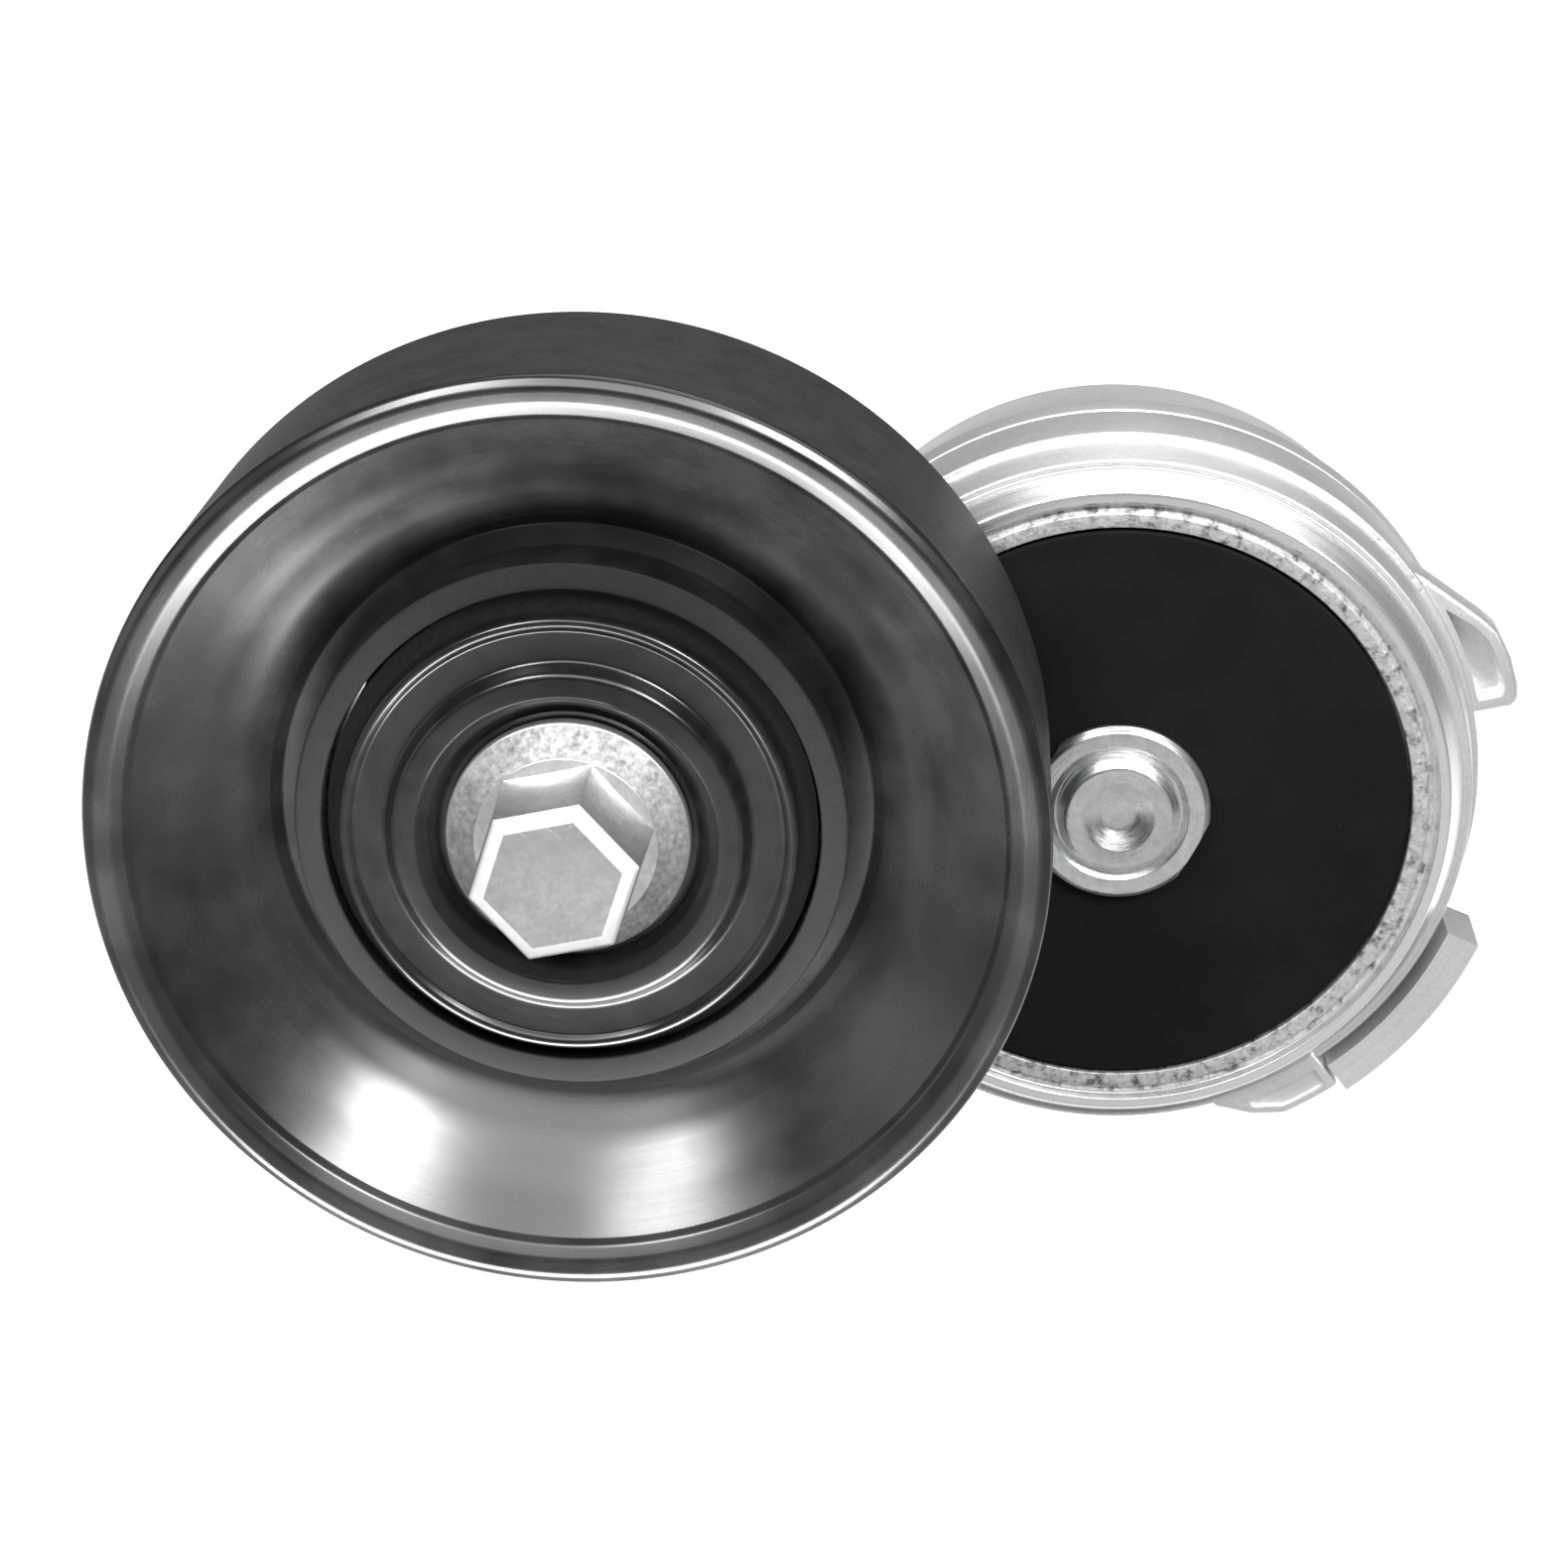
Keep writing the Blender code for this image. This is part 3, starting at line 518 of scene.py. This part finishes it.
def make_bolt(*materials):
    """M10 flange bolt: conical flange, tapered hexagon with a wide rounded chamfer, shank."""
    flats_low, flats_high, flats_top, edge, chamfer, turn = 14.8, 13.9, 11.2, 0.9, 0.35, 78.0
    bottom, hex_low, shank, shank_end = 61.7, 63.4, 5.0, 30.0
    body = spun("pulley_bolt_fine", rounded([
        (0, 65.0), (7.0, 65.0), (8.5, 64.75, 0.5), (FLANGE_R, bottom + 1.3, 0.35), (FLANGE_R, bottom, 0.2),
        (shank, bottom), (shank, shank_end + 1.0), (shank - 1.0, shank_end), (0, shank_end)], 5), IDLER)
    work = bmesh.new()
    levels = ((flats_low, hex_low), (flats_high, BOLT_TOP - edge),
              (flats_high - 2 * chamfer, BOLT_TOP - chamfer), (flats_top, BOLT_TOP))
    for flats, height in levels:
        for corner in range(6):
            work.verts.new(to_frame(IDLER, *polar(flats / math.sqrt(3), turn + 60 * corner), height))
    bmesh.ops.convex_hull(work, input=work.verts)
    bmesh.ops.dissolve_limit(work, angle_limit=math.radians(1), verts=work.verts, edges=work.edges)
    hexagon = mesh_object("hexagon", work)
    soften(hexagon, 0.14)
    boolean(body, "UNION", [hexagon])
    bolt = finish_piece(body, "arm", ["pulley_bolt"], "zinc_steel", *materials)
    # painted highlight: the hexagon's chamfer band gets the second, near-white zinc
    paint(bolt, 1, lambda radius, height: BOLT_TOP - edge < height < BOLT_TOP - 0.03)
    # painted shade: the flange's top gets the third zinc, rougher and painted darker to hold down the lamps'
    # reflection
    paint(bolt, 2, lambda radius, height: 8.6 < radius < FLANGE_R - 0.2 and height > bottom + 1.0)
    return bolt


def make_arm(material):
    """The arm's casting: hub, disc, ring with turned bands, skirt, fin, lug, web and boss."""
    bush, tube, skirt_in, low, step = 9.9, 13.6, 33.7, 22.4, 30.5
    profile = rounded([
        (bush, 7.0), (tube, 7.0, 0.4), (tube, 32.0, 1.2), (skirt_in, 32.0, 0.8), (skirt_in, low, 0.2),
        (CASE_R, low, 0.3), (CASE_R - 0.1, step, 0.3), (35.75, step + 0.1, 0.2), (35.1, 35.9, 0.3),
        (34.7, 35.9, 0.1), (34.4, 35.5, 0.15), (34.1, 36.2, 0.2), (32.7, RING_TOP, 0.4),
        (31.7, RING_TOP, 0.15), (31.35, 38.1, 0.15), (30.8, 37.9, 0.15), (30.4, 38.4, 0.2),
        (29.0, 38.4, 0.15), (29.0, 35.0), (bush, 35.0)], 4)
    arm = spun("tensioner_arm_fine", profile)
    boolean(arm, "UNION", [arm_web(), pulley_boss(), travel_fin(), stop_lug()])
    boolean(arm, "DIFFERENCE", [fin_pocket(), lug_recess(), boss_hole()])
    return finish_piece(arm, "arm", ["tensioner_arm"], "cast_aluminium", material)


def arm_web():
    """Plate that narrows from the hub to the pulley's boss."""
    root, spread, far = 34.9, 48, 12.2
    distance = (PIVOT.x - IDLER.x) / MM
    start = Vector(polar(root, 180 - spread)) + Vector((distance, 0))
    lean = math.degrees(math.atan2(start.y, start.x) + math.acos(far / start.length))
    tip = [(x - distance, y) for x, y in arc(far, lean, 360 - lean, 24)]
    return slab("arm_web", arc(root, 180 + spread, 180 - spread, 24) + tip, 26.5, 37.6, edge=0.8)


def pulley_boss():
    top, low = 43.6, 23.0
    profile = rounded([
        (0, top), (12.6, top, 0.3), (13.6, top - 1.0, 0.5), (14.2, low + 1.5, 1.2), (12.8, low, 0.4),
        (0, low)])
    return spun("pulley_boss", profile, IDLER)


def boss_hole():
    drill = [(0, 45.0), (BOLT_HOLE, 45.0), (BOLT_HOLE, 27.0), (0, 25.0)]
    return spun("boss_hole", drill, IDLER, SMALL_SMOOTH)


def travel_fin():
    """Fin on the skirt that meets the stop block at full travel."""
    outline = [polar(36.0, 46), polar(36.9, 42), polar(39.9, 32), polar(40.8, 29.3), polar(41.15, 25),
               polar(41.15, 21), polar(40.9, 18.8), polar(40.2, 18)] + arc(35.0, 18, 46, 12)
    return slab("travel_fin", outline, 25.2, 29.6, edge=0.45)


def fin_pocket():
    outline = [polar(37.0, 36), polar(38.9, 31.5), polar(39.7, 28.5), polar(39.9, 25), polar(39.9, 21.0),
               polar(39.5, 19.8)] + arc(37.0, 19.8, 36, 8)[:-1]
    return slab("fin_pocket", outline, 27.0, 31.0, edge=0.3)


def stop_lug():
    """Lug on the skirt that rests on the stop block when the arm is free."""
    outline = arc(38.8, -46.6, -56, 8) + [polar(37.6, -60.5), polar(35.4, -66)] + arc(34.2, -66, -46.6, 10)
    return slab("stop_lug", outline, 24.6, 36.0, edge=0.4)


def lug_recess():
    outline = arc(38.0, -48.1, -55.5, 6) + [polar(36.8, -60)] + arc(35.9, -60.5, -48.1, 8)
    return slab("lug_recess", outline, 35.5, 37.0, edge=0.2)


def make_base(material):
    """The spring case's casting: wall, floor, pivot boss, ribs, pin pad, spigot and stop block."""
    shaft_hole, boss, top, spigot, inner, spigot_top = 8.3, 15.0, 22.0, 33.2, 31.2, 26.0
    profile = rounded([
        (shaft_hole, 0, 0.2), (boss, 0, 0.6), (boss + 0.8, 3.0, 0.8), (27.6, 3.0, 0.8), (28.4, 0, 0.5),
        (33.6, 0, 0.8), (35.6, 15.0, 6.0), (CASE_R, 18.0, 1.0), (CASE_R, top, 0.3), (spigot, top, 0.2),
        (spigot, spigot_top, 0.3), (inner, spigot_top, 0.3), (inner, 5.5, 1.5), (shaft_hole, 5.5)], 5)
    base = spun("base_housing_fine", profile)
    boolean(base, "UNION", [stop_block(), pin_pad(), *rear_ribs(boss)])
    boolean(base, "DIFFERENCE", [pin_hole()])
    return finish_piece(base, "base", ["base_housing"], "cast_aluminium", material)


def stop_block():
    """Block on the case that reaches over the skirt; its ends stop the lug and the fin."""
    start, end, outer, top, lip, reach = -46.0, -16.0, 39.6, 36.4, 31.1, 50
    profile = [(36.2, top), (outer, top), (outer, 17.5), (35.0, 13.5), (35.0, 21.6), (37.0, 22.2),
               (37.0, lip), (36.2, lip)]
    block = spun("stop_block", profile)
    wedge = [(0, 0), polar(reach, start), polar(reach, (start + end) / 2), polar(reach, end)]
    fan = slab("fan", wedge, -5.0, 60.0)
    boolean(block, "INTERSECT", [fan])
    undercut = slab("undercut", [(0, 0), polar(reach, end - 5), polar(reach, end + 10)], 5.0, 28.4)
    boolean(block, "DIFFERENCE", [undercut])
    return block


def pin_pad():
    return spun("pin_pad", rounded([(0, 0), (6.0, 0, 0.4), (6.4, 4.0), (0, 4.0)]), PIN_AXIS, SMALL_SMOOTH)


def pin_hole():
    return spun("pin_hole", [(0, 4.6), (3.3, 4.6), (3.3, -1), (0, -1)], PIN_AXIS, SMALL_SMOOTH)


def rear_ribs(boss):
    """Six ribs across the hollow of the rear face, from the boss to the rim."""
    count, half, inner, outer = 6, 1.3, boss - 0.5, 29.0
    ribs = []
    for index in range(count):
        angle = 360 / count * index + 30
        along, side = Vector(polar(1, angle)), Vector(polar(1, angle + 90))
        outline = [along * inner - side * half, along * outer - side * half,
                   along * outer + side * half, along * inner + side * half]
        ribs.append(slab(f"rib_{index}", [tuple(corner) for corner in outline], 0.6, 4.0, edge=0.3))
    return ribs


def make_cap_plate(material):
    """Flat round plate over the arm's hub."""
    low, bore = back_of("front_cap_plate"), 7.3
    profile = rounded([(bore, PLATE_TOP), (PLATE_R, PLATE_TOP, 0.35), (PLATE_R, low, 0.2), (bore, low)])
    plate = spun("front_cap_plate_fine", profile)
    return finish_piece(plate, "base", ["front_cap_plate"], "black_plate", material)


def make_pivot(material):
    """Shaft with a threaded hole, a round head with two flats and a spun-over dome with a hollow top."""
    shaft, neck, core, core_end, dome, radius, flat, turn = 8.0, 7.0, 4.3, 24.0, 6.1, 9.1, 8.47, -21.5
    head_low, head_top, dome_top = PLATE_TOP + 0.3, 39.9, PIVOT_TOP
    pitch, thread_depth, mouth, rings = 1.5, 0.55, 1.0, 150
    threads = [(core, mouth + (core_end - mouth) * ring / rings) for ring in range(rings, -1, -1)]

    def thread(place, height, degrees):
        inside = place == core and mouth < height < core_end - 0.5
        turn_part = (height / pitch - degrees / 360) % 1.0
        return thread_depth * (1 - abs(2 * turn_part - 1)) if inside else 0.0

    body = spun("pivot_shaft_fine", rounded([
        (core + 0.8, 0), (shaft, 0, 0.5), (shaft, 36.4), (neck, 36.4), (neck, head_low + 0.4),
        (dome, head_low + 0.4), (dome, 40.2, 0.4), (5.2, dome_top, 0.7), (3.6, dome_top - 0.15, 1.0),
        (1.6, dome_top - 0.95, 1.5), (0, dome_top - 1.0), (0, core_end + 2.0)], 6) + threads, swell=thread)
    head = spun("pivot_head", rounded([
        (0, head_low), (radius, head_low, 0.1), (radius, head_top - 0.6, 0.15), (radius - 0.6, head_top, 0.2),
        (dome + 0.95, head_top, 0.2), (dome + 0.25, head_top - 0.55), (0, head_top - 0.55)], 4))
    reach = 2 * radius
    flats = slab("head_flats", [(-flat, -reach), (flat, -reach), (flat, reach), (-flat, reach)],
                 head_low - 1, head_top + 1)
    flats.data.transform(Matrix.Rotation(math.radians(-turn), 4, "Y"))
    boolean(head, "INTERSECT", [flats])
    boolean(body, "UNION", [head])
    return finish_piece(body, "base", ["pivot_shaft"], "bright_steel", material)


def make_rear_shield(material):
    """Disc behind the bearing, thicker round the bolt."""
    low, top, rim, thick = back_of("rear_dust_shield"), front_of("rear_dust_shield"), 22.6, 0.8
    profile = rounded([(BOLT_HOLE, top), (10.0, top, 0.3), (11.0, low + thick, 0.3), (rim, low + thick, 0.3),
                       (rim, low, 0.3), (BOLT_HOLE, low)])
    shield = spun("rear_dust_shield_fine", profile, IDLER)
    return finish_piece(shield, "arm", ["rear_dust_shield"], "zinc_steel", material)


def make_pin(material):
    """Pin that stands out of the rear face."""
    radius, end, inner_end = 3.0, -5.0, 4.2
    profile = rounded([(0, end), (radius, end, 0.8), (radius, inner_end), (0, inner_end)])
    pin = spun("locating_pin_fine", profile, PIN_AXIS, SMALL_SMOOTH)
    return finish_piece(pin, "base", ["locating_pin"], "zinc_steel", material)


def dress(material, *names):
    """Gives CAD nodes that keep their shape a detailed material."""
    for name in names:
        node = frame["nodes"][name]
        node.data.materials.clear()
        node.data.materials.append(material)
        node.data.shade_smooth()
        node.data.set_sharp_from_angle(angle=math.radians(30))


# Studio ------------------------------------------------------------------------------------------

def softbox(name, place, size, power, aim=(-0.05, -0.05, 0.0)):
    """A soft lamp that the camera doesn't see."""
    data = bpy.data.lights.new(name, "AREA")
    data.shape = "RECTANGLE"
    data.size, data.size_y = size
    data.energy = power
    lamp = bpy.data.objects.new(name, data)
    lamp.location = place
    lamp.visible_camera = False
    lamp.rotation_euler = (Vector(aim) - Vector(place)).to_track_quat("-Z", "Y").to_euler()
    bpy.context.scene.collection.objects.link(lamp)
    return lamp


def make_floor():
    """A pale floor with painted shade before the object, so that the enamel reflects it dark, and a painted
    glow (emission) under and behind it.
    """
    size, height = 12.0, cad_box[0][2] - 0.10
    work = bmesh.new()
    bmesh.ops.create_grid(work, x_segments=8, y_segments=8, size=size)
    floor = mesh_object("studio_floor", work)
    floor.location = (0, 0, height)
    recipe = Recipe("pale_floor")
    fine = recipe.noise(0.02, 3.0, 0.5)
    depth = recipe.add("SeparateXYZ", Vector=recipe.place).outputs[1]
    # painted glow: the floor emits light under and behind the object, and more far behind it
    near_glow = recipe.ramp(depth, -0.04, 0.04, 0.0, 0.40)
    far_glow = recipe.ramp(depth, 0.2, 1.6, 0.0, 0.6)
    glow = recipe.math("ADD", near_glow, far_glow)
    # painted shade: the floor's colour is darker before the object
    shade = recipe.ramp(depth, -0.08, 0.04, 0.27, 1.0)
    tone = recipe.math("MULTIPLY", recipe.spread(fine, 0.86, 0.90), shade)
    recipe.set(Base_Color=recipe.grey(tone), Roughness=0.8,
               Emission_Color=recipe.grey(glow), Emission_Strength=1.0)
    floor.data.materials.append(recipe.material)


def make_studio(enamelled):
    """Floor, faint world and softboxes; low_front lights only what is in the enamelled collection."""
    make_floor()
    world = bpy.data.worlds.new("studio")
    world.use_nodes = True
    background = world.node_tree.nodes["Background"]
    background.inputs["Color"].default_value = (1.0, 1.0, 1.0, 1.0)
    background.inputs["Strength"].default_value = 0.12
    bpy.context.scene.world = world
    bpy.context.scene.view_settings.view_transform = "Standard"
    softbox("key_right", (0.40, -0.75, 0.78), (0.26, 0.38), 13.0)
    softbox("key_left", (-0.56, -0.68, 0.78), (0.24, 0.38), 8.0)
    softbox("front_top", (-0.10, -0.86, 0.82), (1.1, 0.55), 9.5)
    softbox("left_low", (-1.2, -0.45, 0.1), (0.5, 0.6), 1.0)
    low = softbox("low_front", (-0.052, -0.160, -0.135), (0.16, 0.14), 1.7, (-0.052, -0.16, 0.0))
    low.light_linking.receiver_collection = enamelled
    softbox("overhead", (0.15, 0.2, 1.1), (1.5, 0.9), 8.0)


def make_camera():
    """Looks down on the part from the front, a little rolled."""
    place = Vector((-0.0266, -0.3633, 0.1229))
    forward = Vector((-0.0191, 0.9337, -0.3575))
    up = Vector((-0.1159, 0.3531, 0.9284))
    right = forward.cross(up).normalized()
    up = right.cross(forward).normalized()
    data = bpy.data.cameras.new("camera")
    data.lens = 80.18
    data.sensor_width = 36.0
    camera = bpy.data.objects.new("camera", data)
    turn = Matrix((right, up, -forward.normalized())).transposed()
    camera.matrix_world = Matrix.Translation(place) @ turn.to_4x4()
    bpy.context.scene.collection.objects.link(camera)
    bpy.context.scene.camera = camera


# Make everything -----------------------------------------------------------------------------------

make_camera()
enamelled = bpy.data.collections.new("enamelled_pieces")
make_studio(enamelled)

bolt_zinc = zinc("bolt_zinc")
for piece in (make_pulley(), make_front_shield()):
    enamelled.objects.link(piece)
# The second zinc is near-white, a painted highlight on the chamfer; the third is rougher zinc painted dark, a
# painted shade on the flange.
make_bolt(bolt_zinc, zinc("painted_highlight_zinc", 0.92, 0.97, 0.5), zinc("rough_shade_painted_zinc", 0.22, 0.48, 0.8, 0.28))
make_arm(cast_aluminium("cast_and_turned_aluminium", turned=True))
make_base(cast_aluminium())
make_cap_plate(cap_black())
make_pivot(turned_steel("pivot_steel", PIVOT, 0.66, 0.82))
make_rear_shield(bolt_zinc)
make_pin(bolt_zinc)

# painted shade: the bearing's outer ring is made nearly black to stand for the shadow in the gap under the
# front shield
dress(painted_shade_steel(), "bearing_outer_ring")
dress(turned_steel("ground_steel", IDLER, 0.5, 0.62, 0.12), "bearing_inner_ring", "bearing_sleeve",
      *[name for name in frame["nodes"] if name.startswith("bearing_ball")])
dress(moulded("seal_rubber", (0.012, 0.012, 0.012), (0.02, 0.02, 0.02), 0.5, 0.65),
      "bearing_seal_front", "bearing_seal_rear")
dress(moulded("natural_nylon", (0.50, 0.47, 0.38), (0.60, 0.57, 0.48), 0.42, 0.56), "bearing_cage",
      "friction_washer", "spring_seat", "pivot_bushing_front", "pivot_bushing_rear", "damper_shoe")
dress(turned_steel("oiled_spring_steel", PIVOT, 0.12, 0.22, 0.3), "torsion_spring")
